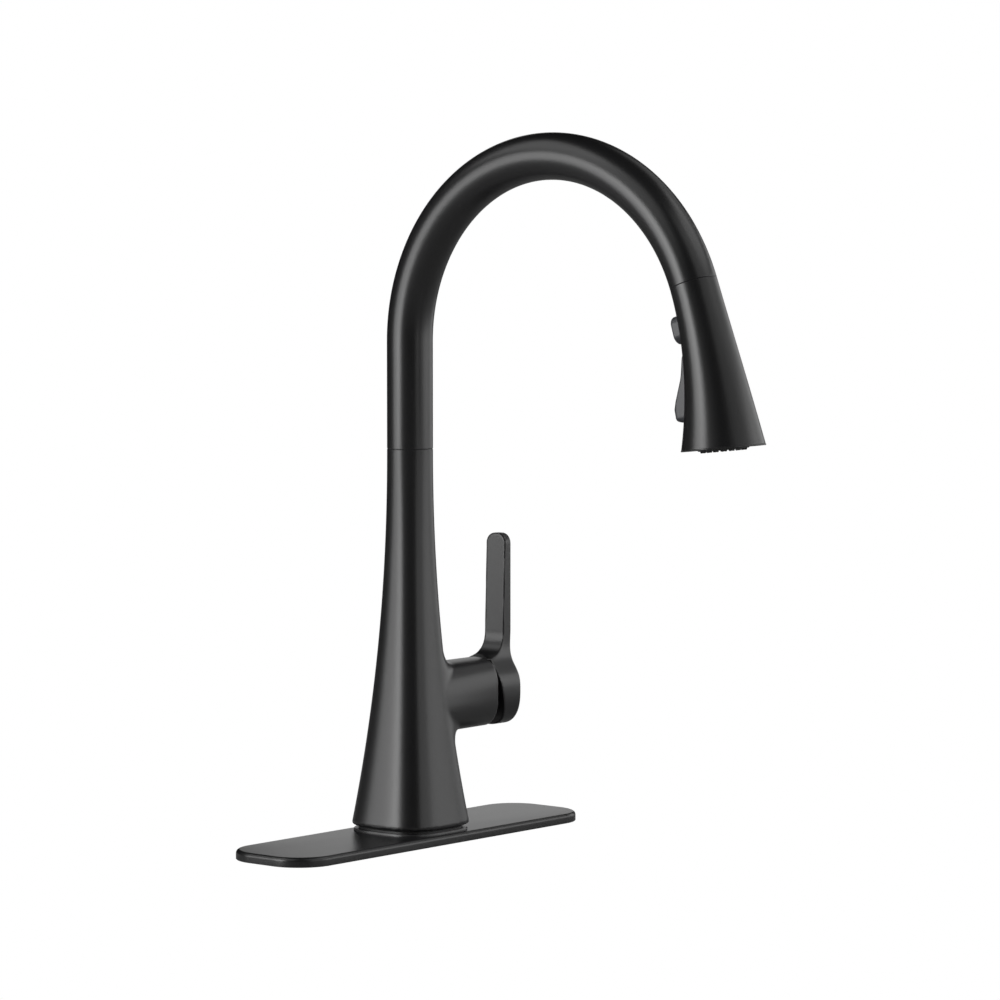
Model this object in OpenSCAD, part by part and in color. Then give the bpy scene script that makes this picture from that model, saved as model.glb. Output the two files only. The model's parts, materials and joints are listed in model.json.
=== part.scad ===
// Pull-down kitchen faucet: deck plate, tapered body with a side lever, high-arc spout
// and a pull-out spray head with two buttons.  Origin: column axis on the deck surface.
// +Z up, the spout reaches towards -Y, the lever stands on the +X side.

/* [Deck plate] */
// Length of the deck plate
plate_l = 260.35; // [240:0.05:280]
// Width of the deck plate
plate_w = 65.1; // [64:0.1:72]
// Height of the deck plate
plate_t = 5.7; // [5.2:0.1:8]
// Corner radius of the deck plate
plate_r = 23; // [18:0.5:28]

/* [Column] */
// Height of the seam between body and spout
body_top = 232; // [228:0.5:240]
// Half width of the body at its foot
foot_half = 30.6; // [29:0.1:31.5]
// Squareness of the foot, 2 is a circle
foot_power = 3.05; // [2.6:0.05:3.4]

/* [Spout] */
// Outer radius of the spout tube
tube_r = 13.56; // [13.4:0.02:13.8]
// Wall of the spout tube
tube_wall = 1.96; // [1.9:0.02:2.1]
// Height where the arch starts
arch_z = 295.4; // [285:0.5:310]
// Radius of the arch centreline
arch_r = 108.3; // [100:0.1:116]
// Sweep of the arch
arch_sweep = 160; // [155:1:165]

/* [Spray head] */
// Length of the head along its curved centreline
head_l = 93; // [90:0.5:98]
// Outer radius at the bottom of the head
head_r = 23.61; // [22:0.05:25]
// Angle that the centreline turns through along the head
head_bend = 13.5; // [10:0.5:16]

/* [Valve and lever] */
// Height of the valve axis
valve_z = 82.6; // [80:0.1:86]
// Half width of the valve boss
boss_half_w = 16.2; // [16:0.1:17]
// Half height of the valve boss
boss_half_h = 20.7; // [20:0.1:22]
// Distance from the column axis to the end of the boss
boss_end = 62.2; // [61.8:0.1:62.6]
// Outer face of the lever
lever_x = 84; // [83:0.1:86]
// Thickness of the lever blade
blade_t = 5.4; // [5:0.1:6.5]
// Width of the lever blade
blade_w = 15; // [13:0.5:17]
// Top of the lever blade
blade_top = 177.2; // [165:0.1:190]
// Largest outward tilt of the lever
flow_angle = 20; // [15:1:20]

/* [Mounting] */
// Radius of the shank thread
shank_r = 16.4; // [16.2:0.05:16.45]
// Length of the shank below the deck surface
shank_drop = 62; // [60:1:70]
// Deck thickness between the gasket and the rubber washer
deck_gap = 31; // [20:1:32]

/* [Hidden] */
$fn = 64;

black = "#2a2a2c";
dark_rubber = "#161616";
dark_plastic = "#3a3b3e";
brass = "#b5954f";
steel = "#a9abad";
ceramic = "#e9e4da";
braid = "#55575a";

gap = 0.05;          // clearance between parts that are fixed together
run = 0.08;          // radial clearance of a running fit

ring_z = 8.1;        // top of the base ring, where the body stands
lip_z = 7.2;         // height of the ring's outer lip
lip_w = 2.6;         // how far the lip stands out from the part that carries the body
foot_gap = 1;        // height of the shadow gap under the foot of the body
foot_in = 4;         // how deep that gap is
foot_edge = 1.6;     // rounding of the foot's lower edge
cavity_r = 18;       // hollow in the foot of the body
block_z = 50;        // underside of the valve block inside the body
hose_r = 6;          // spray hose
hose_x = -7.5;       // the hose passes the valve on the side away from the lever
port_r = 4.5;        // tapping hole of the supply ports
port_l = 10;
port_x = 3.5;
port_y = 8.8;
outlet_x = 9;
bush_r = 12;         // bore for the two spout bushings
spigot_r = 10.7;
boss_bore = 13;
seat_x = 29;         // bottom of the cartridge bore
pivot_x = 50;        // pin that the lever tilts on
stem_r = 3.5;
stem_arm = 8;        // from the pivot pin to the ball that moves the disc
tube_in = tube_r - tube_wall;

// ---- formulas ----------------------------------------------------------

// Half width of the body at height z, seen along the diagonal
function body_reach(z) = tube_r + 21 * pow((body_top - z) / 221, 2.08);
// Power of the body's squared-circle section: 2 at the top, foot_power at the foot
function body_power(z) = 2 + (foot_power - 2) * (body_top - z) / 221;
// How far a squared circle of half width 1 reaches at 50 degrees
function reach50(n) = pow(pow(cos(50), n / (n - 1)) + pow(sin(50), n / (n - 1)), (n - 1) / n);
function body_half(z) = body_reach(z) * foot_half / 30.6 / reach50(body_power(z));

// Points of a squared circle, half widths a and b, power n
function squircle(a, b, n, count = 48) = [
    for (i = [0 : count - 1])
        let (t = 360 * i / count, c = cos(t), s = sin(t))
        [a * sign(c) * pow(abs(c), 2 / n), b * sign(s) * pow(abs(s), 2 / n)]
];

// Centreline of the spray head: arc from the dock, s measured down from the seam
function head_tilt(s) = 180 - arch_sweep - head_bend * s / head_l;
head_arc = head_l / (head_bend * PI / 180);
dock_y = -arch_r + arch_r * cos(arch_sweep);
dock_z = arch_z + arch_r * sin(arch_sweep);
function head_y(s) = dock_y + head_arc * (cos(head_tilt(0)) - cos(head_tilt(s)));
function head_z(s) = dock_z - head_arc * (sin(head_tilt(0)) - sin(head_tilt(s)));
function head_radius(s) = tube_r + (head_r - tube_r) * pow(s / head_l, 1.85);

// ---- shared modules ----------------------------------------------------

// Solid through a list of rings, each ring a list of 3D points
module loft(rings) {
    m = len(rings[0]);
    k = len(rings);
    polyhedron(
        points = [for (r = rings) each r],
        faces = concat(
            [[for (i = [0 : m - 1]) i]],
            [[for (i = [m - 1 : -1 : 0]) (k - 1) * m + i]],
            [for (j = [0 : k - 2], i = [0 : m - 1])
                [j * m + i, (j + 1) * m + i, (j + 1) * m + (i + 1) % m, j * m + (i + 1) % m]]
        ),
        convexity = 6
    );
}

// Round tube between two heights
module pipe(r_out, r_in, z0, z1) {
    difference() {
        translate([0, 0, z0]) cylinder(r = r_out, h = z1 - z0);
        translate([0, 0, z0 - 1]) cylinder(r = r_in, h = z1 - z0 + 2);
    }
}

// Rounded slab standing on z0
module slab(l, w, r, z0, z1) {
    translate([0, 0, z0])
        linear_extrude(z1 - z0)
            union() {
                square([l - 2 * r, w], center = true);
                square([l, w - 2 * r], center = true);
                for (x = [-1, 1], y = [-1, 1])
                    translate([x * (l / 2 - r), y * (w / 2 - r)]) circle(r = r);
            }
}

// Children drawn with +Z along the valve axis, away from the column
module on_valve_axis() {
    translate([0, 0, valve_z]) rotate([0, 90, 0]) children();
}

// Children drawn in the head at s: +Z up along the head, +Y towards the column
module in_head(s) {
    translate([0, head_y(s), head_z(s)]) rotate([-head_tilt(s), 0, 0]) children();
}

// Solid of the head between s0 and s1, pulled in by the wall
module head_solid(s0, s1, wall, steps = 12, count = 40) {
    loft([for (j = [0 : steps])
        let (s = s0 + (s1 - s0) * j / steps, r = head_radius(max(0, min(s, head_l))) - wall, a = head_tilt(s))
        [for (i = [0 : count - 1])
            let (t = -360 * i / count)
            [r * cos(t), head_y(s) + r * sin(t) * cos(a), head_z(s) - r * sin(t) * sin(a)]]
    ]);
}

// Round bar of radius r along the head's centreline
module head_bar(r, s0, s1, steps = 10, count = 32) {
    loft([for (j = [0 : steps])
        let (s = s0 + (s1 - s0) * j / steps, a = head_tilt(s))
        [for (i = [0 : count - 1])
            let (t = -360 * i / count)
            [r * cos(t), head_y(s) + r * sin(t) * cos(a), head_z(s) - r * sin(t) * sin(a)]]
    ]);
}

// Ring segment of the arch between two angles from its start
module arch_ring(r_out, r_in, a0, a1) {
    translate([0, -arch_r, arch_z])
        rotate([90, 0, 90])
            rotate([0, 0, a0])
                rotate_extrude(angle = a1 - a0)
                    translate([arch_r, 0])
                        difference() {
                            circle(r = r_out);
                            circle(r = r_in);
                        }
}

// ---- deck --------------------------------------------------------------

plate_wall = 2;
plate_round = 2.3;
shank_hole = 17.5;

module deck_plate() {
    steps = 6;
    color(black)
        difference() {
            hull() {
                slab(plate_l, plate_w, plate_r, 0, plate_t - plate_round);
                for (i = [1 : steps])
                    let (a = 90 * i / steps, in = plate_round * (1 - cos(a)))
                    slab(plate_l - 2 * in, plate_w - 2 * in, plate_r - in,
                         plate_t - plate_round, plate_t - plate_round + plate_round * sin(a));
            }
            slab(plate_l - 2 * plate_wall, plate_w - 2 * plate_wall, plate_r - plate_wall,
                 -1, plate_t - plate_wall);
            translate([0, 0, -1]) cylinder(r = shank_hole, h = plate_t + 2);
        }
}

gasket_t = 0.9;
gasket_w = 6;

module plate_base() {
    in = plate_wall + 0.2;
    color(dark_plastic)
        difference() {
            slab(plate_l - 2 * in, plate_w - 2 * in, plate_r - in, gasket_t, plate_t - plate_wall - gap);
            cylinder(r = shank_hole, h = plate_t);
            for (x = [-1, 1], y = [-1, 1])
                translate([x * 62, y * 14, 0])
                    slab(76, 18, 5, 0.5, plate_t - plate_wall - 1);
        }
}

module deck_gasket() {
    in = plate_wall + 0.2;
    color(dark_rubber)
        difference() {
            slab(plate_l - 2 * in, plate_w - 2 * in, plate_r - in, 0, gasket_t);
            slab(plate_l - 2 * in - 2 * gasket_w, plate_w - 2 * in - 2 * gasket_w,
                 plate_r - in - gasket_w, -1, gasket_t + 1);
        }
}

module base_ring() {
    steps = 4;
    edge = 0.35;
    half = foot_half - 0.6;
    profile = concat(
        [[half, plate_t]],
        [for (j = [0 : steps]) let (a = 90 * j / steps)
            [half - edge * (1 - cos(a)), lip_z - edge * (1 - sin(a))]],
        [[half - lip_w, lip_z + 0.05], [half - lip_w, ring_z]]
    );
    color(dark_plastic)
        difference() {
            loft([for (p = profile) [for (q = squircle(p[0], p[0], foot_power)) [q[0], q[1], p[1]]]]);
            translate([0, 0, plate_t - 1]) cylinder(r = shank_hole, h = 5);
        }
}

// ---- body --------------------------------------------------------------

module body_skin() {
    round_steps = 3;
    wall_steps = 26;
    seam = body_top - 0.4;
    foot_z = ring_z + foot_gap;
    wall_z = foot_z + foot_edge;
    neck = [[ring_z, -foot_in], [foot_z - 0.05, -foot_in]];
    low = [for (j = [0 : round_steps - 1])
        let (a = 90 * j / round_steps)
        [foot_z + foot_edge * (1 - cos(a)), -foot_edge * (1 - sin(a))]];
    high = [for (j = [0 : wall_steps]) [wall_z + (seam - wall_z) * j / wall_steps, 0]];
    loft([for (p = concat(neck, low, high))
        let (z = max(p[0], wall_z), h = body_half(z) + p[1])
        [for (q = squircle(h, h, body_power(z))) [q[0], q[1], p[0]]]
    ]);
}

// Half width of the valve boss: it leaves the column flush and narrows evenly to its end
function boss_w(x, z) = boss_half_w + (body_half(z) - boss_half_w) * (1 - x / boss_end);

// Valve boss with a flare above and below where it leaves the column
module boss_skin() {
    flare = 12;
    start = 4;
    skin_x = 19.5;
    steps = 6;
    xs = concat([start, 9, 14], [for (j = [0 : steps]) skin_x + flare * j / steps], [37, 43, boss_end]);
    loft([for (x = xs)
        let (d = max(0, skin_x + flare - max(x, skin_x)),
             grow = flare - sqrt(flare * flare - d * d))
        [for (q = squircle(1, boss_half_h + grow, 2.7, 40))
            [x, q[0] * boss_w(x, valve_z + q[1]), valve_z + q[1]]]
    ]);
}

module body() {
    color(black)
        difference() {
            union() {
                body_skin();
                boss_skin();
            }
            // foot: shank thread, then the open hollow up to the valve block
            translate([0, 0, ring_z - 1]) cylinder(r = shank_r + gap, h = 13);
            translate([0, 0, 20]) cylinder(r = cavity_r, h = block_z - 20);
            // hose passage beside the valve, then up the middle
            translate([hose_x, 0, block_z - 1]) cylinder(r = 7.6, h = 76);
            translate([0, 0, 112]) cylinder(r = 10.2, h = 75);
            translate([0, 0, 186]) cylinder(r = bush_r, h = 60);
            // supply ports and their galleries to the valve seat
            for (side = [-1, 1]) {
                translate([port_x, side * port_y, block_z - 1]) cylinder(r = port_r, h = port_l + 1);
                translate([port_x, side * port_y, block_z]) cylinder(r = 2.8, h = 28);
                translate([port_x, side * 7, valve_z - 4.6]) rotate([0, 90, 0]) cylinder(r = 2.5, h = 27);
            }
            // outlet port and gallery
            translate([outlet_x, 0, block_z - 1]) cylinder(r = 4 + gap, h = port_l + 1);
            translate([outlet_x, 0, block_z]) cylinder(r = 3, h = 38);
            translate([outlet_x, 0, valve_z + 5.4]) rotate([0, 90, 0]) cylinder(r = 2.8, h = 21);
            // cartridge bore
            on_valve_axis() translate([0, 0, seat_x]) cylinder(r = boss_bore, h = 60);
        }
}

// ---- under the deck ----------------------------------------------------

lead_l = 14;         // plain end of the shank below its thread
shank_bore = 14.2;

module shank() {
    color(brass)
        difference() {
            union() {
                translate([0, 0, -shank_drop]) cylinder(r = shank_r - 0.4, h = lead_l);
                translate([0, 0, -shank_drop + lead_l]) cylinder(r = shank_r, h = shank_drop - lead_l + 20);
            }
            translate([0, 0, -shank_drop - 1]) cylinder(r = shank_bore, h = shank_drop + 30);
        }
}

rubber_t = 3;
steel_t = 2;
nut_t = 9;

module shank_rubber_washer() {
    color(dark_rubber) pipe(27, shank_r + 0.3, -deck_gap - rubber_t, -deck_gap);
}

module shank_steel_washer() {
    top = -deck_gap - rubber_t;
    color(steel) pipe(26, shank_r + 0.3, top - steel_t, top);
}

module mounting_nut() {
    top = -deck_gap - rubber_t - steel_t;
    color(brass)
        difference() {
            union() {
                translate([0, 0, top - nut_t]) cylinder(r = 25.5, h = nut_t, $fn = 6);
                translate([0, 0, top - 2]) cylinder(r = 25.6, h = 2);
            }
            translate([0, 0, top - nut_t - 1]) cylinder(r = shank_r + gap, h = nut_t + 2);
        }
}

module outlet_tube() {
    color("#b87341")
        translate([outlet_x, 0, 0])
            pipe(4, 3, -66, block_z + port_l - 0.2);
}

module outlet_fitting() {
    color(brass)
        translate([outlet_x, 0, 0])
            difference() {
                union() {
                    translate([0, 0, -72]) cylinder(r = 4.8, h = 20);
                    translate([0, 0, -58]) cylinder(r = 5.2, h = 5);
                    translate([0, 0, -84]) cylinder(r = 4.2, h = 13);
                }
                translate([0, 0, -66]) cylinder(r = 4 + gap, h = 20);
                translate([0, 0, -90]) cylinder(r = 2.8, h = 30);
            }
}

// ---- spray hose --------------------------------------------------------

// Route through shank and body: [x, z]
hose_route = [
    [-7.5, -56], [-7.5, -40], [-7.5, -20], [-7.5, 0], [-7.5, 20], [-7.5, 40], [-7.5, 60],
    [-7.5, 80], [-7.5, 95], [-7.2, 106], [-6.2, 116], [-4.6, 126], [-2.9, 136], [-1.5, 146],
    [-0.5, 156], [0, 168], [0, 180], [0, 200], [0, 216], [0, 231.5]
];
hose_sides = 12;

module hose_in_body() {
    k = len(hose_route);
    color(braid)
        loft([for (j = [0 : k - 1])
            let (p = hose_route[j],
                 before = hose_route[max(j - 1, 0)],
                 after = hose_route[min(j + 1, k - 1)],
                 lean = atan2(after[0] - before[0], after[1] - before[1]) * (j > 0 && j < k - 1 ? 1 : 0))
            [for (i = [0 : hose_sides - 1])
                let (t = 360 * i / hose_sides)
                [p[0] + hose_r * cos(t) * cos(lean), hose_r * sin(t), p[1] - hose_r * cos(t) * sin(lean)]]
        ]);
}

hose_stop = 156;     // arch angle where the dock run begins

// Hose ring in the arch at angle a, or below its start at depth d
function hose_ring(a, d) = [
    for (i = [0 : hose_sides - 1])
        let (t = 360 * i / hose_sides, rr = arch_r + hose_r * sin(t))
        [hose_r * cos(t), -arch_r + rr * cos(a), arch_z - d + rr * sin(a)]
];

module hose_in_spout() {
    straight = [63.9, 48, 32, 16];
    steps = 20;
    color(braid)
        loft(concat(
            [for (d = straight) hose_ring(0, d)],
            [for (j = [0 : steps]) hose_ring(hose_stop * j / steps, 0)]
        ));
}

module hose_dock_run() {
    steps = 2;
    color(braid)
        loft(concat(
            [for (j = [0 : steps]) hose_ring(hose_stop + 0.02 + (arch_sweep - hose_stop - 0.02) * j / steps, 0)],
            [for (s = [3, 9])
                [for (p = hose_ring(arch_sweep, 0))
                    [p[0], p[1] - s * sin(head_tilt(0)), p[2] - s * cos(head_tilt(0))]]]
        ));
}

module hose_connector() {
    color(brass)
        translate([hose_x, 0, 0])
            difference() {
                union() {
                    translate([0, 0, -61.9]) cylinder(r = 6.6, h = 15);
                    translate([0, 0, -84]) cylinder(r = 4.8, h = 23);
                    translate([0, 0, -72]) cylinder(r = 6, h = 3);
                }
                translate([0, 0, -56.05]) cylinder(r = hose_r + gap, h = 20);
                translate([0, 0, -90]) cylinder(r = 3.2, h = 40);
            }
}

// ---- spout joint -------------------------------------------------------

spigot_z = 187.5;

module bushing(z0, z1) {
    pipe(bush_r - gap, spigot_r + run, z0, z1);
}

module upper_bushing() {
    color("#d8d6cf") bushing(222, 231);
}

module lower_bushing() {
    color("#d8d6cf") bushing(192, 200);
}

module glide_ring() {
    color(dark_plastic) pipe(tube_r - 0.25, spigot_r + run, body_top - 0.4 + 0.01, body_top - 0.01);
}

module spout_tube() {
    color(black)
        union() {
            difference() {
                translate([0, 0, body_top]) cylinder(r = tube_r, h = arch_z - body_top);
                translate([0, 0, body_top - 1]) cylinder(r = tube_in, h = arch_z - body_top + 2);
            }
            arch_ring(tube_r, tube_in, 0, arch_sweep);
        }
}

module spout_spigot() {
    color(brass)
        difference() {
            union() {
                translate([0, 0, spigot_z]) cylinder(r = spigot_r, h = body_top - spigot_z + 0.5);
                translate([0, 0, body_top]) cylinder(r = tube_in - gap, h = 20);
            }
            translate([0, 0, spigot_z - 1]) cylinder(r = 8.6, h = 80);
            // groove for the clip
            pipe(spigot_r + 1, spigot_r - 1, 189, 190.6);
        }
}

module spout_clip() {
    color(steel)
        difference() {
            pipe(spigot_r + 0.9, spigot_r - 0.9, 189.1, 190.5);
            translate([0, -4, 188]) cube([20, 8, 4]);
        }
}

// ---- dock at the end of the spout --------------------------------------

dock_bore = 9.3;

module dock_collar() {
    color(dark_plastic) arch_ring(tube_in - gap, dock_bore, 154.5, arch_sweep - 0.2);
}

module dock_magnet() {
    color(steel) arch_ring(tube_in - gap, dock_bore, 150.5, 154.4);
}

// ---- spray head: hose end ----------------------------------------------

module hose_ferrule() {
    color(steel) in_head(0) pipe(6.9, hose_r + gap, -ferrule_end, 1);
}

ball_s = 12.6;       // centre of the ball, along the head
ball_r = 6.2;
ferrule_end = 9;

module swivel_ball() {
    color(brass)
        in_head(0)
            difference() {
                translate([0, 0, -ball_s]) sphere(r = ball_r);
                translate([0, 0, -ferrule_end - gap]) cylinder(r = ball_r, h = ball_r);
                translate([0, 0, -30]) cylinder(r = 2.6, h = 40);
            }
}

// ---- spray head: casing and waterway -----------------------------------

shell_wall = 2.2;

module docking_neck() {
    color(dark_plastic)
        in_head(0)
            difference() {
                union() {
                    translate([0, 0, -8]) cylinder(r = 8.2, h = 14);
                    translate([0, 0, -19.4]) cylinder(r = 9.6, h = 14.4);
                }
                translate([0, 0, -18.9]) cylinder(r = 7.2, h = 20.5);
                translate([0, 0, -30]) cylinder(r = 3.6, h = 40);
                cylinder(r = 6.95 + run, h = 10);
            }
}

module keeper_ring() {
    color(steel) in_head(0) pipe(8.2, 6.95 + run, 6 + gap, 9);
}

pad_s = 22.5;        // boost button, along the head
pad_w = 14;
pad_h = 16;
pad_round = 5;       // corner radius of its outline
rocker_s = 55;       // middle of the spray toggle
rocker_w = 16;
rocker_y = 10;       // pivot of the toggle, out from the head's centreline
rocker_in = 8.2;     // its inner face
rocker_low = 21.8;   // radius of the toggle's lower end
nose_y = 16;         // and its centre, out from the head's centreline
nose_clear = 1.2;    // room below the lower end, which drops as it is pressed in
rocker_high = 19.3;  // radius of the upper end about the pivot
rocker_round = 5;    // corner radius of its outline
slot_round = 2;      // corner radius of the slot, smaller to let the toggle's corners swing
pin_r = 1;           // toggle pin
ear_in = 7.3;        // ears that hold the pin, from the centreline
ear_out = 8.6;
clear = 0.3;

module head_shell() {
    color(black)
        difference() {
            head_solid(0.1, head_l, 0, 14, 48);
            head_solid(3, head_l + 1, shell_wall, 12, 40);
            in_head(0) translate([0, 0, -9]) cylinder(r = 8.2 + gap, h = 20);
            in_head(pad_s) pad_block(pad_w + 2 * clear, pad_h + 2 * clear, pad_round + clear, 8.5, 30);
            toggle_slot();
        }
}

// Upright block with rounded corners, reaching from y0 to y1
module pad_block(w, h, r, y0, y1) {
    translate([0, y1, 0])
        rotate([90, 0, 0])
            linear_extrude(y1 - y0)
                union() {
                    square([w - 2 * r, h], center = true);
                    square([w, h - 2 * r], center = true);
                    for (x = [-1, 1], z = [-1, 1])
                        translate([x * (w / 2 - r), z * (h / 2 - r)]) circle(r = r);
                }
}

// Side view of the space that the toggle's two ends turn in about its pin
module toggle_side(grow) {
    union() {
        intersection() {
            translate([nose_y, 0]) circle(r = rocker_low + grow);
            translate([rocker_y - 4, -30]) square([34, 30]);
        }
        intersection() {
            translate([rocker_y, 0]) circle(r = rocker_high + min(grow, clear));
            translate([rocker_y - 4, 0]) square([34, 30]);
        }
    }
}

// Front view of the toggle as a deep block with corner radius r, wider by side, longer by low
module toggle_front(side, low, r) {
    translate([0, 0, (rocker_high + side - rocker_low - low) / 2])
        pad_block(rocker_w + 2 * side, rocker_low + rocker_high + side + low, r, 0, 60);
}

module toggle_slot() {
    slot_w = rocker_w + 2 * clear;
    in_head(rocker_s)
        intersection() {
            toggle_front(clear, nose_clear, slot_round);
            translate([-slot_w / 2, 0, 0])
                rotate([90, 0, 90])
                    linear_extrude(slot_w)
                        intersection() {
                            toggle_side(nose_clear);
                            translate([rocker_in - 0.7, -30]) square([40, 60]);
                        }
        }
}

module head_trim() {
    color(dark_plastic) in_head(head_l) pipe(head_r + 0.25, head_r - shell_wall + 0.1, -0.9, -gap);
}

core_r = 7;
flange_r = head_r - shell_wall - 1;  // spray face, inside the shell's mouth

module waterway() {
    color(dark_plastic)
        difference() {
            union() {
                head_bar(core_r, 20, head_l - 4);
                in_head(head_l) translate([0, 0, 3.2]) cylinder(r = flange_r - 0.6, h = 2.4);
                // ears that hold the toggle pin, on a crossbar
                in_head(rocker_s)
                    difference() {
                        translate([-ear_out, 2, -2.6]) cube([2 * ear_out, rocker_y - 0.4, 5.2]);
                        translate([-ear_in, 4.5, -3]) cube([2 * ear_in, 10, 6]);
                    }
            }
            head_bar(3.6, 32, head_l - 2, 8, 24);
            in_head(22) translate([0, 0, -14]) cylinder(r = 5 + gap, h = 30);
            in_head(rocker_s)
                translate([-15, rocker_y, 0])
                    rotate([0, 90, 0])
                        cylinder(r = pin_r + gap, h = 30);
            in_head(pad_s) rotate([-90, 0, 0]) cylinder(r = 1.5 + run, h = 12);
            in_head(rocker_s) translate([0, 0, -10]) rotate([-90, 0, 0]) cylinder(r = 2 + run, h = 12);
            in_head(head_l) translate([0, 0, 2]) cylinder(r = 6 + gap, h = 3);
        }
}

module check_valve() {
    color("#e4e2dc")
        in_head(22)
            difference() {
                translate([0, 0, -13.9]) cylinder(r = 5, h = 10);
                translate([0, 0, -10]) cylinder(r = 3.4, h = 12);
                for (a = [0 : 120 : 240])
                    rotate([0, 0, a]) translate([2.2, 0, -20]) cylinder(r = 1, h = 20);
            }
}

face_r = 14.5;
face_drop = 1.5;

module spray_face() {
    color(dark_rubber)
        in_head(head_l)
            difference() {
                union() {
                    translate([0, 0, 0.6]) cylinder(r = flange_r, h = 2.4);
                    translate([0, 0, -face_drop]) cylinder(r = face_r, h = 3);
                }
                translate([0, 0, -5]) cylinder(r = 6.2, h = 12);
                for (ring = [[9, 12], [12.4, 18]], i = [0 : ring[1] - 1])
                    rotate([0, 0, 360 * i / ring[1]])
                        translate([ring[0], 0, -5]) cylinder(r = 0.95, h = 12, $fn = 16);
            }
}

module spray_nozzles() {
    color("#202124")
        in_head(head_l)
            for (ring = [[9, 12], [12.4, 18]], i = [0 : ring[1] - 1])
                rotate([0, 0, 360 * i / ring[1]])
                    translate([ring[0], 0, -face_drop - 1])
                        cylinder(r1 = 0.6, r2 = 0.9, h = 4.4, $fn = 16);
}

module aerator() {
    color("#202124")
        in_head(head_l)
            difference() {
                translate([0, 0, -face_drop - 0.3]) cylinder(r = 6, h = 5.2);
                translate([0, 0, -face_drop - 1]) cylinder(r = 5, h = 2);
                for (i = [0 : 5])
                    rotate([0, 0, 60 * i]) translate([3, 0, -5]) cylinder(r = 0.8, h = 12, $fn = 16);
            }
}

// ---- spray head: buttons -----------------------------------------------

pad_out = 18;      // face of the boost button, out from the centreline
pad_in = 11.7;

module boost_button() {
    color("#3c3e43")
        in_head(pad_s)
            difference() {
                hull() {
                    pad_block(pad_w, pad_h, pad_round, pad_in, pad_out - 1.2);
                    pad_block(pad_w - 2.4, pad_h - 2.4, pad_round - 1.2, pad_in, pad_out);
                }
                translate([0, 8, 0]) rotate([-90, 0, 0]) cylinder(r = 3.3, h = 6);
            }
}

module boost_plunger() {
    color(steel)
        in_head(pad_s) rotate([-90, 0, 0]) translate([0, 0, 4]) cylinder(r = 1.5, h = 9.9);
}

module boost_spring() {
    turns = 4;
    per_turn = 16;
    wire = 0.3;
    r = 2.1;
    y0 = core_r + 0.5;
    y1 = 13.5;
    count = turns * per_turn;
    a = head_tilt(pad_s);
    color(steel)
        loft([for (j = [0 : count])
            let (t = 360 * j / per_turn, y = y0 + (y1 - y0) * j / count)
            [for (i = [0 : 5])
                let (u = 60 * i,
                     x = (r + wire * cos(u)) * cos(t),
                     v = y + wire * sin(u),
                     z = -(r + wire * cos(u)) * sin(t))
                [x, head_y(pad_s) + v * cos(a) + z * sin(a), head_z(pad_s) - v * sin(a) + z * cos(a)]]
        ]);
}

rocker_flat = -13;   // below this height the toggle's face stands no further out

// Outer face of the toggle in its own frame: nearly flush at the top, proud at the bottom
function rocker_face(z) = let (v = z - 3.9) 18.1 - 0.39 * v + 0.12 * sqrt(v * v + 4);

// Side view of the toggle: its outer face over a plain back that slants away at the bottom
module toggle_profile() {
    steps = 14;
    top = 20.5;
    low = -22.5;
    polygon(concat(
        [for (j = [0 : steps]) let (z = top - (top - low) * j / steps)
            [min(rocker_face(z), rocker_face(rocker_flat)), z]],
        [[rocker_in + 2.8, low], [rocker_in, -4], [rocker_in, top]]
    ));
}

module spray_toggle() {
    color("#3c3e43")
        in_head(rocker_s)
            difference() {
                intersection() {
                    toggle_front(0, 0, rocker_round);
                    translate([-rocker_w / 2, 0, 0])
                        rotate([90, 0, 90])
                            linear_extrude(rocker_w)
                                intersection() {
                                    toggle_profile();
                                    toggle_side(0);
                                }
                }
                translate([-10, rocker_y, 0]) rotate([0, 90, 0]) cylinder(r = pin_r + run, h = 20);
                // room for the ears
                for (x = [-1, 1])
                    translate([x * ear_out - 1.6, 5, -4.5]) cube([3.2, rocker_y - 2.4, 9]);
            }
}

module toggle_pin() {
    color(steel)
        in_head(rocker_s)
            translate([-ear_out, rocker_y, 0])
                rotate([0, 90, 0])
                    cylinder(r = pin_r, h = 2 * ear_out);
}

module diverter_spool() {
    color(brass)
        in_head(rocker_s) translate([0, 4, -10]) rotate([-90, 0, 0]) cylinder(r = 2, h = rocker_in - 3.5);
}

// ---- valve cartridge ---------------------------------------------------

module port_holes(z0, h) {
    for (side = [-1, 1])
        translate([4.6, side * 7, z0]) cylinder(r = 2.5, h = h);
    translate([-5.4, 0, z0]) cylinder(r = 2.8, h = h);
}

module port_seal() {
    color("#8c1f1a")
        on_valve_axis()
            difference() {
                translate([0, 0, seat_x + 0.02]) cylinder(r = 12, h = 1.4);
                port_holes(seat_x - 1, 5);
            }
}

house_bore = 11.2;

module cartridge_housing() {
    color("#dcdad3")
        on_valve_axis()
            difference() {
                translate([0, 0, seat_x + 1.45]) cylinder(r = boss_bore - 0.1, h = 25.55);
                translate([0, 0, seat_x + 4]) cylinder(r = house_bore, h = 40);
                port_holes(seat_x - 1, 10);
            }
}

module fixed_disc() {
    color(ceramic)
        on_valve_axis()
            difference() {
                translate([0, 0, seat_x + 4.05]) cylinder(r = house_bore - 0.1, h = 2.95);
                port_holes(seat_x - 1, 10);
            }
}

disc_r = 7.9;

module moving_disc() {
    color(ceramic)
        on_valve_axis()
            difference() {
                translate([0, 0, seat_x + 7.02]) cylinder(r = disc_r, h = 2.8);
                translate([0.6, 0, seat_x + 7]) cylinder(r = 5, h = 1.4);
            }
}

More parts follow.
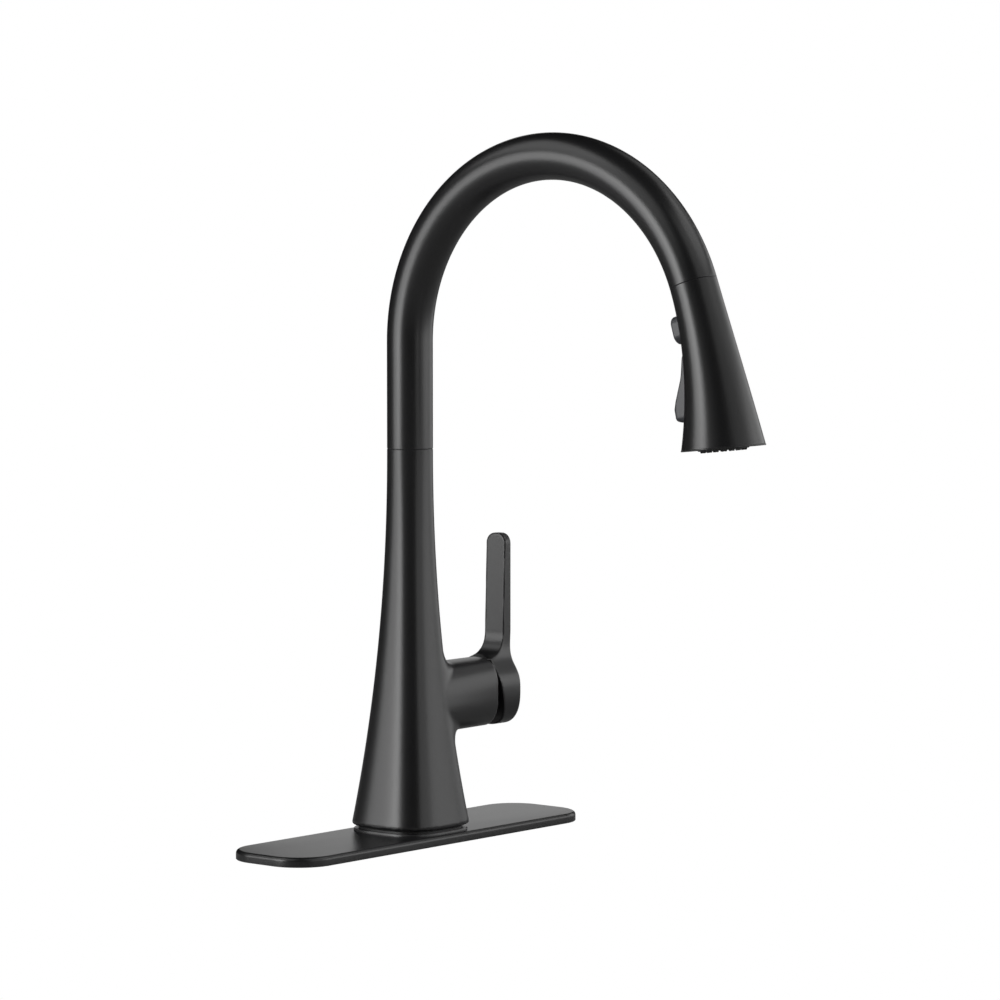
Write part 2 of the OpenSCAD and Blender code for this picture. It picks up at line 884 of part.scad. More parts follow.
module disc_carrier() {
    x0 = seat_x + 9.85;
    color("#dcdad3")
        on_valve_axis()
            difference() {
                translate([0, 0, x0]) cylinder(r = disc_r, h = 5.6);
                translate([-2.6, -2.6, x0 + 0.5]) cube([5.2, 5.2, 8]);
                translate([-3.6, -2.6, x0 + 4.1]) cube([7.2, 5.2, 4]);
            }
}

module turret() {
    color("#dcdad3")
        on_valve_axis()
            difference() {
                translate([0, 0, 45]) cylinder(r = house_bore - run, h = 10.9);
                translate([-6.2, -stem_r - 0.1, 44]) cube([12.4, 2 * stem_r + 0.2, 14]);
                translate([0, -20, pivot_x]) rotate([-90, 0, 0]) cylinder(r = 1.5 + 0.02, h = 40);
            }
}

module pivot_pin() {
    color(steel)
        translate([pivot_x, -10.2, valve_z]) rotate([-90, 0, 0]) cylinder(r = 1.5, h = 20.4);
}

stem_end = 79;
square_x = 66;
square_w = 6.6;

module stem() {
    color(steel)
        on_valve_axis()
            difference() {
                union() {
                    translate([0, 0, pivot_x - stem_arm]) sphere(r = 2.4);
                    translate([0, 0, pivot_x - stem_arm]) cylinder(r = 1.6, h = 4);
                    translate([0, 0, 45.5]) cylinder(r = stem_r, h = square_x - 45.5);
                    translate([-square_w / 2, -square_w / 2, square_x - 1])
                        cube([square_w, square_w, stem_end - square_x + 1]);
                }
                translate([0, -20, pivot_x]) rotate([-90, 0, 0]) cylinder(r = 1.5 + run, h = 40);
            }
}

module bonnet_nut() {
    color(brass) on_valve_axis() pipe(boss_bore - gap, 9.2, 56.1, 60.9);
}

module bonnet_cap() {
    color(dark_rubber) on_valve_axis() pipe(boss_bore - gap, 9.2, 61, 62.1);
}

// ---- lever -------------------------------------------------------------

hub_half_w = 16.2;
hub_low = 61.5;      // underside of the hub
hub_x = boss_end + 0.8;
wedge_z = 92.5;      // below this the hub's face leans further away from the boss
wedge = 13.4;        // angle of that lean
gap_lean = 0.09;     // slope of the hub's face above it
blade_lean = 1.7;    // how much thicker the blade is at its foot
blade_round = 6.2;   // corner radius of its top
pocket_r = 11.5;     // recess in the hub's face, round the stem
pocket_x = 68.5;
neck_z = 103;        // hub and blade meet between here and flare_z
flare_z = 118;
screw_x = 75.5;

// Reach of the blade's corner rounding at height v above its centre
function corner_x(v) = sqrt(max(0, blade_round * blade_round - v * v));

// Half width of the lever at height z
function lever_half(z) =
    z < valve_z ? hub_half_w * pow(max(0, 1 - pow((valve_z - z) / (valve_z - hub_low), 2.5)), 1 / 2.5) :
    z > blade_top - blade_round ? blade_w / 2 - blade_round + corner_x(z - blade_top + blade_round) :
    blade_w / 2 + (hub_half_w - blade_w / 2) * (1 - smooth((z - valve_z) / (114 - valve_z)));
function smooth(u) = let (v = max(0, min(1, u))) pow(v, 2.2) / (pow(v, 2.2) + pow(1 - v, 2.6));

// Inner face of the blade at height z
function blade_in(z) = lever_x - blade_t - blade_lean * (blade_top - z) / (blade_top - flare_z);

// Inner face of the lever at height z
function lever_in(z) =
    z < wedge_z ? hub_x + (neck_z - wedge_z) * gap_lean + (wedge_z - z) * tan(wedge) :
    z < neck_z ? hub_x + (neck_z - z) * gap_lean :
    z < flare_z ? let (u = (z - neck_z) / (flare_z - neck_z))
        hub_x + (blade_in(flare_z) - hub_x) * pow(1 - pow(1 - u, 2.2), 1 / 2.2) :
    blade_in(z);

// Rounded rectangle from x0 to x1 and -h to h at height z, with corner radius r
function lever_ring(x0, x1, h, r, z) = [
    for (c = [[x1, 1, 0], [x0, 1, 90], [x0, -1, 180], [x1, -1, 270]], k = [0 : 5])
        let (t = c[2] + 18 * k, cx = c[0] == x1 ? x1 - r : x0 + r)
        [cx + r * cos(t), c[1] * (h - r) + r * sin(t), z]
];

module lever_handle() {
    low = [for (a = [4, 15, 28, 42, 56, 70, 84]) valve_z - (valve_z - hub_low) * cos(a)];
    mid = [for (j = [0 : 14]) valve_z + 2 + (flare_z - valve_z) * j / 14];
    high = [for (a = [0, 25, 45, 62, 76, 86]) blade_top - blade_round + blade_round * sin(a)];
    color(black)
        difference() {
            loft([for (z = concat(low, mid, high))
                let (h = lever_half(z), x0 = lever_in(z),
                     r = min(z < flare_z ? 2.2 : 1.2, h * 0.6))
                lever_ring(x0, lever_x, h, r, z)]);
            on_valve_axis() translate([0, 0, 60]) cylinder(r = pocket_r, h = pocket_x - 60);
            on_valve_axis() translate([-square_w / 2 - gap, -square_w / 2 - gap, square_x - 1])
                cube([square_w + 2 * gap, square_w + 2 * gap, stem_end - square_x + 1.1]);
            translate([screw_x, 0, hub_low - 1]) cylinder(r = 2.1, h = valve_z - hub_low - square_w / 2 + 1);
        }
}

module set_screw() {
    color(steel)
        translate([screw_x, 0, 0])
            difference() {
                translate([0, 0, 69]) cylinder(r = 2.05, h = valve_z - square_w / 2 - 69);
                translate([0, 0, 68]) cylinder(r = 1.15, h = 4, $fn = 6);
            }
}

module screw_plug() {
    color(dark_plastic) translate([screw_x, 0, hub_low + 0.6]) cylinder(r = 2.05, h = 3);
}

deck_plate();
plate_base();
deck_gasket();
base_ring();
body();
shank();
shank_rubber_washer();
shank_steel_washer();
mounting_nut();
outlet_tube();
outlet_fitting();
hose_connector();
hose_in_body();
upper_bushing();
lower_bushing();
glide_ring();
spout_tube();
spout_spigot();
spout_clip();
dock_collar();
dock_magnet();
hose_in_spout();
hose_dock_run();
hose_ferrule();
swivel_ball();
docking_neck();
keeper_ring();
head_shell();
head_trim();
waterway();
spray_face();
spray_nozzles();
aerator();
check_valve();
boost_button();
boost_plunger();
boost_spring();
spray_toggle();
toggle_pin();
diverter_spool();
port_seal();
cartridge_housing();
fixed_disc();
moving_disc();
disc_carrier();
turret();
pivot_pin();
stem();
bonnet_nut();
bonnet_cap();
lever_handle();
set_screw();
screw_plug();
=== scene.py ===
"""Pull-down kitchen faucet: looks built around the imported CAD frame. Metres, Z up."""
import json
import math

import bmesh
import bpy
import numpy as np
from mathutils import Matrix, Vector

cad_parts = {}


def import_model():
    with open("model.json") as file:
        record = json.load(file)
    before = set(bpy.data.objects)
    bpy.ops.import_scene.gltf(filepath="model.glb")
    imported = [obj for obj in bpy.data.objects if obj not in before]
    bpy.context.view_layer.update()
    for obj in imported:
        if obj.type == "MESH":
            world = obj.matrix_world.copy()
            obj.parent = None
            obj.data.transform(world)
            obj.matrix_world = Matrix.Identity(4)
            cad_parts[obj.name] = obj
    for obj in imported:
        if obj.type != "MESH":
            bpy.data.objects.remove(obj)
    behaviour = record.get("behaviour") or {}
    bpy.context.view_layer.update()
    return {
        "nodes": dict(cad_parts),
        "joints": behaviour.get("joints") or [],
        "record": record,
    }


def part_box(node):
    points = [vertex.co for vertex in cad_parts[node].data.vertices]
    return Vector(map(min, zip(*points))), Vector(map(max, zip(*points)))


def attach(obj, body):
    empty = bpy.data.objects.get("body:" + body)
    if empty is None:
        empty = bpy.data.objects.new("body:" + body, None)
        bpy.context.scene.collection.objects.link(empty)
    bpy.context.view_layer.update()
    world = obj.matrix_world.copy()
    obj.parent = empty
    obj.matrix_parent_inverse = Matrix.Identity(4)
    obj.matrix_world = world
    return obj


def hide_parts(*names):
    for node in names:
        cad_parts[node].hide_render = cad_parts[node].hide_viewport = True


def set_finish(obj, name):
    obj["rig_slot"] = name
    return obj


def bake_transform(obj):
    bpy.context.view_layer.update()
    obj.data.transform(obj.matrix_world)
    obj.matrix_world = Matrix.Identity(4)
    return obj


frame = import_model()
MM = 0.001
JOINTS = {j["name"]: j for j in frame["joints"]}

# ---------------------------------------------------------------- dimensions from the frame

plate_low, plate_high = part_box("deck_plate")
tube_low, tube_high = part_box("spout_tube")
lever_low, lever_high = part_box("lever_handle")
ring_low, ring_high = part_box("base_ring")
shank_low, shank_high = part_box("shank")

PLATE_L = plate_high.x - plate_low.x
PLATE_W = plate_high.y - plate_low.y
PLATE_T = plate_high.z
PLATE_R = 23 * MM
RING_TOP = ring_high.z
BODY_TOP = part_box("body")[1].z
SEAM = tube_low.z
TUBE_R = (tube_high.x - tube_low.x) / 2
TUBE_WALL = 1.96 * MM
DOCK = Vector(JOINTS["head_turn"]["pos_m"])
DOCK_TILT = math.asin(-JOINTS["head_turn"]["axis"][1])
ARCH_SWEEP = math.pi - DOCK_TILT
ARCH_R = DOCK.y / (math.cos(ARCH_SWEEP) - 1)
ARCH_Z = DOCK.z - ARCH_R * math.sin(ARCH_SWEEP)
VALVE_Z = JOINTS["flow"]["pos_m"][2]
BOSS_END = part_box("bonnet_cap")[1].x + 0.1 * MM
FOOT_POWER = 3.05
PLATE_HOLE = 17.5 * MM

HEAD_L = 93 * MM
HEAD_BEND = math.radians(13.5)
HEAD_ARC = HEAD_L / HEAD_BEND
HEAD_R = 23.61 * MM
SHELL_WALL = 2.2 * MM


def width_of(node):
    """Size of a node's box along X."""
    low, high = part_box(node)
    return high.x - low.x


# ---------------------------------------------------------------- mesh helpers

def add_mesh(name, points, faces, body, slot_name, replaced=(), sharp=35):
    """New smooth-shaded mesh object that rides on a body."""
    mesh = bpy.data.meshes.new(name)
    mesh.from_pydata([tuple(p) for p in points], [], [tuple(int(i) for i in f) for f in faces])
    mesh.validate()
    obj = bpy.data.objects.new(name, mesh)
    bpy.context.scene.collection.objects.link(obj)
    mark_smooth(obj, sharp)
    if body:
        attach(obj, body)
    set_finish(obj, slot_name)
    if replaced:
        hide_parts(*replaced)
    return obj


def mark_smooth(obj, sharp):
    """Smooth shading with sharp edges above an angle in degrees."""
    bm = bmesh.new()
    bm.from_mesh(obj.data)
    bmesh.ops.recalc_face_normals(bm, faces=bm.faces)
    limit = math.radians(sharp)
    for face in bm.faces:
        face.smooth = True
    for edge in bm.edges:
        edge.smooth = len(edge.link_faces) == 2 and edge.calc_face_angle(0) < limit
    bm.to_mesh(obj.data)
    bm.free()


def grid_faces(rings, count, wrap):
    """Quads between rings of equal count; wrap joins the last ring to the first."""
    faces = []
    for j in range(rings if wrap else rings - 1):
        a = j * count
        b = (j + 1) % rings * count
        for i in range(count):
            k = (i + 1) % count
            faces.append((a + i, a + k, b + k, b + i))
    return faces


def lofted(name, rings, body, slot_name, replaced=(), wrap=False, sharp=35):
    """Mesh through rings of points, with flat caps unless it wraps."""
    count = len(rings[0])
    points = [p for ring in rings for p in ring]
    faces = grid_faces(len(rings), count, wrap)
    if not wrap:
        faces.append(tuple(range(count - 1, -1, -1)))
        faces.append(tuple(range(len(points) - count, len(points))))
    return add_mesh(name, points, faces, body, slot_name, replaced, sharp)


def turned(name, profile, place, body, slot_name, replaced=(), count=96, sharp=35):
    """Closed profile of (radius, height) turned about +Z, then moved by place."""
    rings = [
        [place @ Vector((r * math.cos(t), r * math.sin(t), z))
         for t in np.linspace(0, 2 * math.pi, count, endpoint=False)]
        for r, z in profile
    ]
    return lofted(name, rings, body, slot_name, replaced, wrap=True, sharp=sharp)


def level_ring(points, z):
    """Flat outline lifted to height z."""
    return [(x, y, z) for x, y in points]


def circle(radius, count):
    """Points of a circle."""
    return [(radius * math.cos(t), radius * math.sin(t))
            for t in np.linspace(0, 2 * math.pi, count, endpoint=False)]


def pulled_to_circle(points, radius):
    """The same points, each moved along its own ray to a circle."""
    return [(radius * x / math.hypot(x, y), radius * y / math.hypot(x, y)) for x, y in points]


def squircle(a, b, power, count=160):
    """Points of a squared circle, spread by angle."""
    t = np.linspace(0, 2 * math.pi, count, endpoint=False)
    c, s = np.cos(t), np.sin(t)
    reach = (np.abs(c / a) ** power + np.abs(s / b) ** power) ** (-1 / power)
    return np.stack([reach * c, reach * s], 1)


def rounded_box_outline(length, width, radius, count=40):
    """Outline of a rounded rectangle, count points to a corner."""
    points = []
    for sx, sy, start in ((1, 1, 0), (-1, 1, 90), (-1, -1, 180), (1, -1, 270)):
        for k in range(count):
            t = math.radians(start + 90 * k / (count - 1))
            points.append((sx * (length / 2 - radius) + radius * math.cos(t),
                           sy * (width / 2 - radius) + radius * math.sin(t)))
    return points


# ---------------------------------------------------------------- rounded solids from a field

def blend_union(a, b, radius):
    """Union of two distances with a fillet between them."""
    near = np.hypot(np.maximum(radius - a, 0), np.maximum(radius - b, 0))
    return np.maximum(np.minimum(a, b), radius) - near


def blend_cut(a, b, radius):
    """Intersection of two distances with a rounded edge."""
    near = np.hypot(np.maximum(a + radius, 0), np.maximum(b + radius, 0))
    return np.minimum(np.maximum(a, b), -radius) + near


def outline_distance(u, v, outline):
    """Signed distance to a closed 2D outline, negative inside."""
    u, v = np.broadcast_arrays(u, v)
    best = np.full(u.shape, np.inf)
    inside = np.zeros(u.shape, bool)
    for (au, av), (bu, bv) in zip(outline, outline[1:] + outline[:1]):
        du, dv = bu - au, bv - av
        length = du * du + dv * dv
        if length < 1e-18:
            continue
        t = np.clip(((u - au) * du + (v - av) * dv) / length, 0, 1)
        best = np.minimum(best, (u - au - t * du) ** 2 + (v - av - t * dv) ** 2)
        if av != bv:
            crosses = (av > v) != (bv > v)
            inside ^= crosses & (u < au + (v - av) * du / dv)
    return np.where(inside, -1, 1) * np.sqrt(best)


def field_mesh(field, low, high, cell):
    """Quads on the zero surface of field(x, y, z), each point moved onto the surface."""
    axes = [np.arange(a - 2 * cell, b + 2.5 * cell, cell) for a, b in zip(low, high)]
    x, y, z = np.meshgrid(*axes, indexing="ij", sparse=True)
    inside = field(x, y, z) < 0
    nx, ny, nz = (size - 1 for size in inside.shape)
    corners = sum(
        inside[i:nx + i, j:ny + j, k:nz + k].astype(int)
        for i in (0, 1) for j in (0, 1) for k in (0, 1)
    )
    mixed = (corners > 0) & (corners < 8)
    number = np.full(mixed.shape, -1)
    number[mixed] = np.arange(mixed.sum())
    where = np.argwhere(mixed)
    points = np.stack([axes[a][where[:, a]] + cell / 2 for a in range(3)], 1)
    quads = []
    for axis in range(3):
        first = np.take(inside, range(inside.shape[axis] - 1), axis)
        second = np.take(inside, range(1, inside.shape[axis]), axis)
        at = np.argwhere(first != second)
        u, v = [a for a in range(3) if a != axis]
        at = at[(at[:, u] > 0) & (at[:, v] > 0)]
        at = at[(at[:, u] < number.shape[u]) & (at[:, v] < number.shape[v])]
        ring = []
        for su, sv in ((1, 1), (0, 1), (0, 0), (1, 0)):
            c = at.copy()
            c[:, u] -= su
            c[:, v] -= sv
            ring.append(number[c[:, 0], c[:, 1], c[:, 2]])
        ring = np.stack(ring, 1)
        flip = first[at[:, 0], at[:, 1], at[:, 2]] == (axis == 1)
        ring[flip] = ring[flip][:, ::-1]
        quads.append(ring)
    quads = np.concatenate(quads)
    points = settle(points, quads, field, cell)
    return points, quads


def settle(points, quads, field, cell):
    """Evens out the mesh and puts its points back on the surface, a few times over."""
    turns = 6
    total = len(points)
    ends = np.concatenate([quads[:, [k, (k + 1) % 4]] for k in range(4)])
    degree = np.maximum(np.bincount(ends[:, 0], minlength=total), 1)
    for turn in range(turns):
        if turn:
            sums = [np.bincount(ends[:, 0], points[ends[:, 1], a], total) for a in range(3)]
            mean = np.stack(sums, 1)
            points = points + 0.5 * (mean / degree[:, None] - points)
        for _ in range(3 if turn < turns - 1 else 6):
            points = onto_surface(points, field, cell)
    return points


def onto_surface(points, field, cell):
    """One Newton step towards the zero surface."""
    step = cell * 0.02
    least_slope = 0.05
    value = field(*points.T)
    slope = np.stack([
        (field(*(points + step * axis).T) - field(*(points - step * axis).T)) / (2 * step)
        for axis in np.eye(3)
    ], 1)
    size = np.maximum((slope ** 2).sum(1), least_slope)
    move = value / size
    return points - np.clip(move, -cell, cell)[:, None] * slope


# ---------------------------------------------------------------- materials

def new_material(name):
    """New material with its node tree and its shader."""
    material = bpy.data.materials.new(name)
    material.use_nodes = True
    tree = material.node_tree
    return material, tree, tree.nodes["Principled BSDF"]


def add_node(tree, kind, **settings):
    """New node; each setting goes to the input of that name, or else to the property."""
    node = tree.nodes.new(kind)
    for key, value in settings.items():
        if key in node.inputs:
            node.inputs[key].default_value = value
        else:
            setattr(node, key, value)
    return node


def ramp(tree, source, low, high, low_at=0.0, high_at=1.0):
    """Colour ramp between two colours."""
    node = tree.nodes.new("ShaderNodeValToRGB")
    node.color_ramp.elements[0].position = low_at
    node.color_ramp.elements[1].position = high_at
    node.color_ramp.elements[0].color = (*low, 1)
    node.color_ramp.elements[1].color = (*high, 1)
    tree.links.new(source, node.inputs["Fac"])
    return node.outputs["Color"]


def spread(tree, source, low, high):
    """Maps a 0 to 1 signal to a range."""
    node = add_node(tree, "ShaderNodeMapRange")
    node.inputs["To Min"].default_value = low
    node.inputs["To Max"].default_value = high
    tree.links.new(source, node.inputs["Value"])
    return node.outputs["Result"]


def noise(tree, scale, detail=4.0, stretch=(1, 1, 1)):
    """Object-space noise, scale in cells per metre."""
    place = add_node(tree, "ShaderNodeTexCoord")
    mapping = add_node(tree, "ShaderNodeMapping")
    mapping.inputs["Scale"].default_value = stretch
    tree.links.new(place.outputs["Object"], mapping.inputs["Vector"])
    node = add_node(tree, "ShaderNodeTexNoise", Scale=scale, Detail=detail)
    tree.links.new(mapping.outputs["Vector"], node.inputs["Vector"])
    return node.outputs["Fac"]


def bump(tree, shader, source, depth):
    """Bump of a height signal, depth in metres."""
    node = add_node(tree, "ShaderNodeBump")
    node.inputs["Strength"].default_value = 0.6
    node.inputs["Distance"].default_value = depth
    tree.links.new(source, node.inputs["Height"])
    tree.links.new(node.outputs["Normal"], shader.inputs["Normal"])


def speckled(name, dark, light, rough, grain, depth, metallic=0.0, stretch=(1, 1, 1)):
    """Surface whose colour and roughness wander a little, over a fine grain."""
    material, tree, shader = new_material(name)
    wander = noise(tree, 35, 3.0)
    fine = noise(tree, grain, 2.0, stretch)
    tree.links.new(ramp(tree, wander, dark, light, 0.3, 0.7), shader.inputs["Base Color"])
    tree.links.new(spread(tree, fine, *rough), shader.inputs["Roughness"])
    shader.inputs["Metallic"].default_value = metallic
    shader.inputs["Specular IOR Level"].default_value = 0.5
    bump(tree, shader, fine, depth)
    return material


def matte_black():
    """Powdery black finish on metal: fine orange peel, slightly polished on its edges."""
    material, tree, shader = new_material("matte_black")
    wander = noise(tree, 22, 3.0)
    fine = noise(tree, 2600, 2.0)
    peel = noise(tree, 420, 1.0)
    edge = add_node(tree, "ShaderNodeNewGeometry")
    worn = ramp(tree, edge.outputs["Pointiness"], (0, 0, 0), (1, 1, 1), 0.53, 0.62)
    colour = add_node(tree, "ShaderNodeMix", data_type="RGBA")
    tree.links.new(worn, colour.inputs["Factor"])
    tree.links.new(ramp(tree, wander, (0.0100, 0.0100, 0.0105), (0.0130, 0.0130, 0.0135), 0.3, 0.7),
                   colour.inputs["A"])
    colour.inputs["B"].default_value = (0.024, 0.024, 0.025, 1)
    tree.links.new(colour.outputs["Result"], shader.inputs["Base Color"])
    tree.links.new(spread(tree, fine, 0.26, 0.36), shader.inputs["Roughness"])
    shader.inputs["Specular IOR Level"].default_value = 0.62
    both = add_node(tree, "ShaderNodeMath", operation="MULTIPLY_ADD")
    tree.links.new(peel, both.inputs[0])
    both.inputs[1].default_value = 2.0
    tree.links.new(fine, both.inputs[2])
    bump(tree, shader, both.outputs["Value"], 0.000012)
    return material


def braided():
    """Woven nylon sleeve: two crossing sets of strands round the hose."""
    material, tree, shader = new_material("braided_nylon")
    place = add_node(tree, "ShaderNodeTexCoord")
    mapping = add_node(tree, "ShaderNodeMapping")
    mapping.inputs["Scale"].default_value = (1, 1, 0.6)
    tree.links.new(place.outputs["Object"], mapping.inputs["Vector"])
    weave = []
    for turn in (-0.75, 0.75):
        lean = add_node(tree, "ShaderNodeMapping")
        lean.inputs["Rotation"].default_value = (turn, turn * 0.4, 0)
        tree.links.new(mapping.outputs["Vector"], lean.inputs["Vector"])
        band = add_node(tree, "ShaderNodeTexWave", Scale=210.0, Distortion=0.0)
        band.bands_direction = "Z"
        tree.links.new(lean.outputs["Vector"], band.inputs["Vector"])
        weave.append(band.outputs["Fac"])
    crossed = add_node(tree, "ShaderNodeMath", operation="MULTIPLY")
    tree.links.new(weave[0], crossed.inputs[0])
    tree.links.new(weave[1], crossed.inputs[1])
    pattern = crossed.outputs["Value"]
    tree.links.new(ramp(tree, pattern, (0.012, 0.012, 0.013), (0.15, 0.15, 0.155), 0.05, 0.7),
                   shader.inputs["Base Color"])
    tree.links.new(spread(tree, pattern, 0.7, 0.45), shader.inputs["Roughness"])
    bump(tree, shader, pattern, 0.0004)
    return material


# material slot: a look's name, darkest and lightest colour, roughness range, grains per metre, bump depth
PLAIN_LOOKS = {
    "black_trim": (
        "black_trim", (0.018, 0.018, 0.019), (0.026, 0.026, 0.027), (0.26, 0.36), 1500, 0.000006),
    "button": (
        "button_satin", (0.036, 0.037, 0.042), (0.046, 0.047, 0.053), (0.30, 0.40), 1800, 0.000006),
    "face_rubber": (
        "face_rubber", (0.008, 0.008, 0.008), (0.014, 0.014, 0.014), (0.5, 0.65), 900, 0.00002),
    "rubber": (
        "black_rubber", (0.010, 0.010, 0.010), (0.022, 0.022, 0.021), (0.68, 0.85), 700, 0.00003),
    "red_seal": (
        "red_silicone", (0.26, 0.02, 0.015), (0.34, 0.035, 0.02), (0.45, 0.6), 600, 0.00002),
    "ceramic": (
        "alumina_ceramic", (0.82, 0.80, 0.74), (0.90, 0.88, 0.83), (0.12, 0.2), 900, 0.000004),
    "white_plastic": (
        "acetal_plastic", (0.74, 0.73, 0.68), (0.82, 0.81, 0.77), (0.36, 0.5), 800, 0.00001),
}
# the same for bare metals, and then how the grain is stretched along X, Y and Z
METAL_LOOKS = {
    "brass": (
        "turned_brass", (0.62, 0.44, 0.18), (0.74, 0.56, 0.27), (0.20, 0.38), 500, 0.00001,
        (0.2, 0.2, 6)),
    "copper": (
        "drawn_copper", (0.66, 0.33, 0.19), (0.78, 0.45, 0.28), (0.22, 0.40), 420, 0.00001,
        (6, 6, 0.2)),
    "steel": (
        "brushed_steel", (0.52, 0.52, 0.53), (0.64, 0.64, 0.65), (0.22, 0.42), 600, 0.000008,
        (0.3, 0.3, 5)),
}
MATERIALS = {"black_metal": matte_black(), "braid": braided()}
MATERIALS.update({slot: speckled(*look) for slot, look in PLAIN_LOOKS.items()})
MATERIALS.update({
    slot: speckled(*look, metallic=1.0, stretch=stretch)
    for slot, (*look, stretch) in METAL_LOOKS.items()
})


# ---------------------------------------------------------------- deck plate and base ring

def deck_plate():
    """Cast cover: rounded top edge, hollow underside, hole for the shank."""
    wall = 2 * MM
    round_top = 2.3 * MM
    low_edge = 0.3 * MM
    steps = 10

    def outline(inset):
        return rounded_box_outline(PLATE_L - 2 * inset, PLATE_W - 2 * inset, PLATE_R - inset)

    def ring(inset, z):
        return level_ring(outline(inset), z)

    def hole_ring(z):
        return level_ring(pulled_to_circle(outline(0), PLATE_HOLE), z)

    rings = [hole_ring(PLATE_T)]
    for k in range(steps + 1):
        a = math.pi / 2 * (1 - k / steps)
        rings.append(ring(round_top * (1 - math.cos(a)), PLATE_T - round_top * (1 - math.sin(a))))
    rings += [ring(0, low_edge), ring(low_edge, 0), ring(wall, 0), ring(wall, PLATE_T - wall)]
    rings.append(hole_ring(PLATE_T - wall))
    return lofted("deck_plate_cover", rings, "root", "black_metal", ["deck_plate"], wrap=True)


def base_ring():
    """Plastic foot ring under the body: a low bevelled lip round a raised middle."""
    half = ring_high.x
    bevel = 0.3 * MM
    bevel_height = 0.6 * MM
    lip_top = 7.2 * MM
    lip_width = 2.6 * MM
    levels = [(0, ring_low.z), (0, lip_top - bevel_height), (bevel, lip_top)]
    levels += [(lip_width, lip_top), (lip_width, RING_TOP)]
    rings = [level_ring(squircle(half - i, half - i, FOOT_POWER), z) for i, z in levels]
    hole = pulled_to_circle(squircle(half, half, FOOT_POWER), PLATE_HOLE)
    rings += [level_ring(hole, RING_TOP), level_ring(hole, ring_low.z)]
    return lofted("foot_ring", rings, "root", "black_trim", ["base_ring"], wrap=True)


# ---------------------------------------------------------------- body

FOOT_GAP = 1 * MM
FOOT_IN = 4 * MM
FOOT_EDGE = 1.6 * MM
BODY_SPAN = 221 * MM
BODY_SPREAD = 21 * MM
BOSS_HALF_W = 16.2 * MM
BOSS_HALF_H = 20.7 * MM
BOSS_POWER = 2.7
BOSS_START = 4 * MM
BOSS_RIM = 0.3 * MM
SIDE_FILLET = 0.4 * MM
TOP_FILLET = 12 * MM
VALVE_BORE = 13 * MM
SPOUT_BORE = 12 * MM
SHANK_BORE = 16.45 * MM
TINY = 1e-9


def body_half(z):
    """Half width of the column's squared section at height z, and the section's power."""
    # the flare is given as the reach seen across this direction, so near a diagonal
    across = math.radians(50)
    down = np.clip((SEAM - z) / BODY_SPAN, 0, 1)
    power = 2 + (FOOT_POWER - 2) * down
    reach = TUBE_R + BODY_SPREAD * down ** 2.08
    q = power / (power - 1)
    diagonal = (math.cos(across) ** q + math.sin(across) ** q) ** (1 / q)
    return reach / diagonal, power


def column_field(x, y, z):
    """Column alone."""
    half, power = body_half(z)
    ax, ay = np.abs(x) + TINY, np.abs(y) + TINY
    return (ax ** power + ay ** power) ** (1 / power) - half


def body_field(x, y, z):
    """Column and valve boss; the boss leaves the column flush and narrows to its end."""
    half_w = BOSS_HALF_W + (body_half(z)[0] - BOSS_HALF_W) * (1 - x / BOSS_END)
    by, bz = np.abs(y) / half_w + TINY, np.abs(z - VALVE_Z) / BOSS_HALF_H + TINY
    level = (by ** BOSS_POWER + bz ** BOSS_POWER) ** (1 / BOSS_POWER)
    boss = (level - 1) * (half_w * by + BOSS_HALF_H * bz) / (by + bz)
    boss = blend_cut(boss, x - BOSS_END, BOSS_RIM)
    boss = np.maximum(boss, BOSS_START - x)
    above = bz ** 4 / (by ** 4 + bz ** 4)
    fillet = SIDE_FILLET + (TOP_FILLET - SIDE_FILLET) * above
    whole = blend_union(column_field(x, y, z), boss, fillet)
    return blend_cut(whole, RING_TOP + FOOT_GAP - z, FOOT_EDGE)


def foot_neck():
    """Recessed band between the foot of the body and the ring, which reads as a shadow gap."""
    overlap = 1 * MM
    hole = 17 * MM
    top = RING_TOP + FOOT_GAP + overlap
    half, power = body_half(top)
    outer = squircle(half - FOOT_IN, half - FOOT_IN, power)
    inner = pulled_to_circle(outer, hole)
    rings = [level_ring(outer, z) for z in (RING_TOP, top)]
    rings += [level_ring(inner, z) for z in (top, RING_TOP)]
    return lofted("body_foot", rings, "root", "rubber", wrap=True)


def body_shell():
    """Column and valve boss as one casting with a soft fillet between them."""
    side, boss_side = 31.5 * MM, 63 * MM
    over = 6 * MM
    low = (-side, -side, RING_TOP + FOOT_GAP)
    high = (boss_side, side, BODY_TOP + over)
    points, quads = field_mesh(body_field, low, high, 1.15 * MM)
    obj = add_mesh("body_casting", points, quads, None, "black_metal")
    trim_above(obj, BODY_TOP)
    valve = Matrix.Translation((BOSS_END - 10 * MM, 0, VALVE_Z)) @ Matrix.Rotation(math.pi / 2, 4, "Y")
    cut_cylinder(obj, valve, VALVE_BORE, 20 * MM)
    cut_cylinder(obj, Matrix.Translation((0, 0, BODY_TOP - 20 * MM)), SPOUT_BORE, 40 * MM)
    cut_cylinder(obj, Matrix.Translation((0, 0, 0)), SHANK_BORE, 80 * MM)
    mark_smooth(obj, 35)
    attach(obj, "root")
    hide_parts("body")
    return obj


def trim_above(obj, height):
    """Cuts a closed mesh off flat at a height."""
    bm = bmesh.new()
    bm.from_mesh(obj.data)
    cut = bmesh.ops.bisect_plane(bm, geom=bm.verts[:] + bm.edges[:] + bm.faces[:],
                                 plane_co=(0, 0, height), plane_no=(0, 0, 1), clear_outer=True)
    edges = [e for e in cut["geom_cut"] if isinstance(e, bmesh.types.BMEdge)]
    bmesh.ops.contextual_create(bm, geom=edges)
    bm.to_mesh(obj.data)
    bm.free()


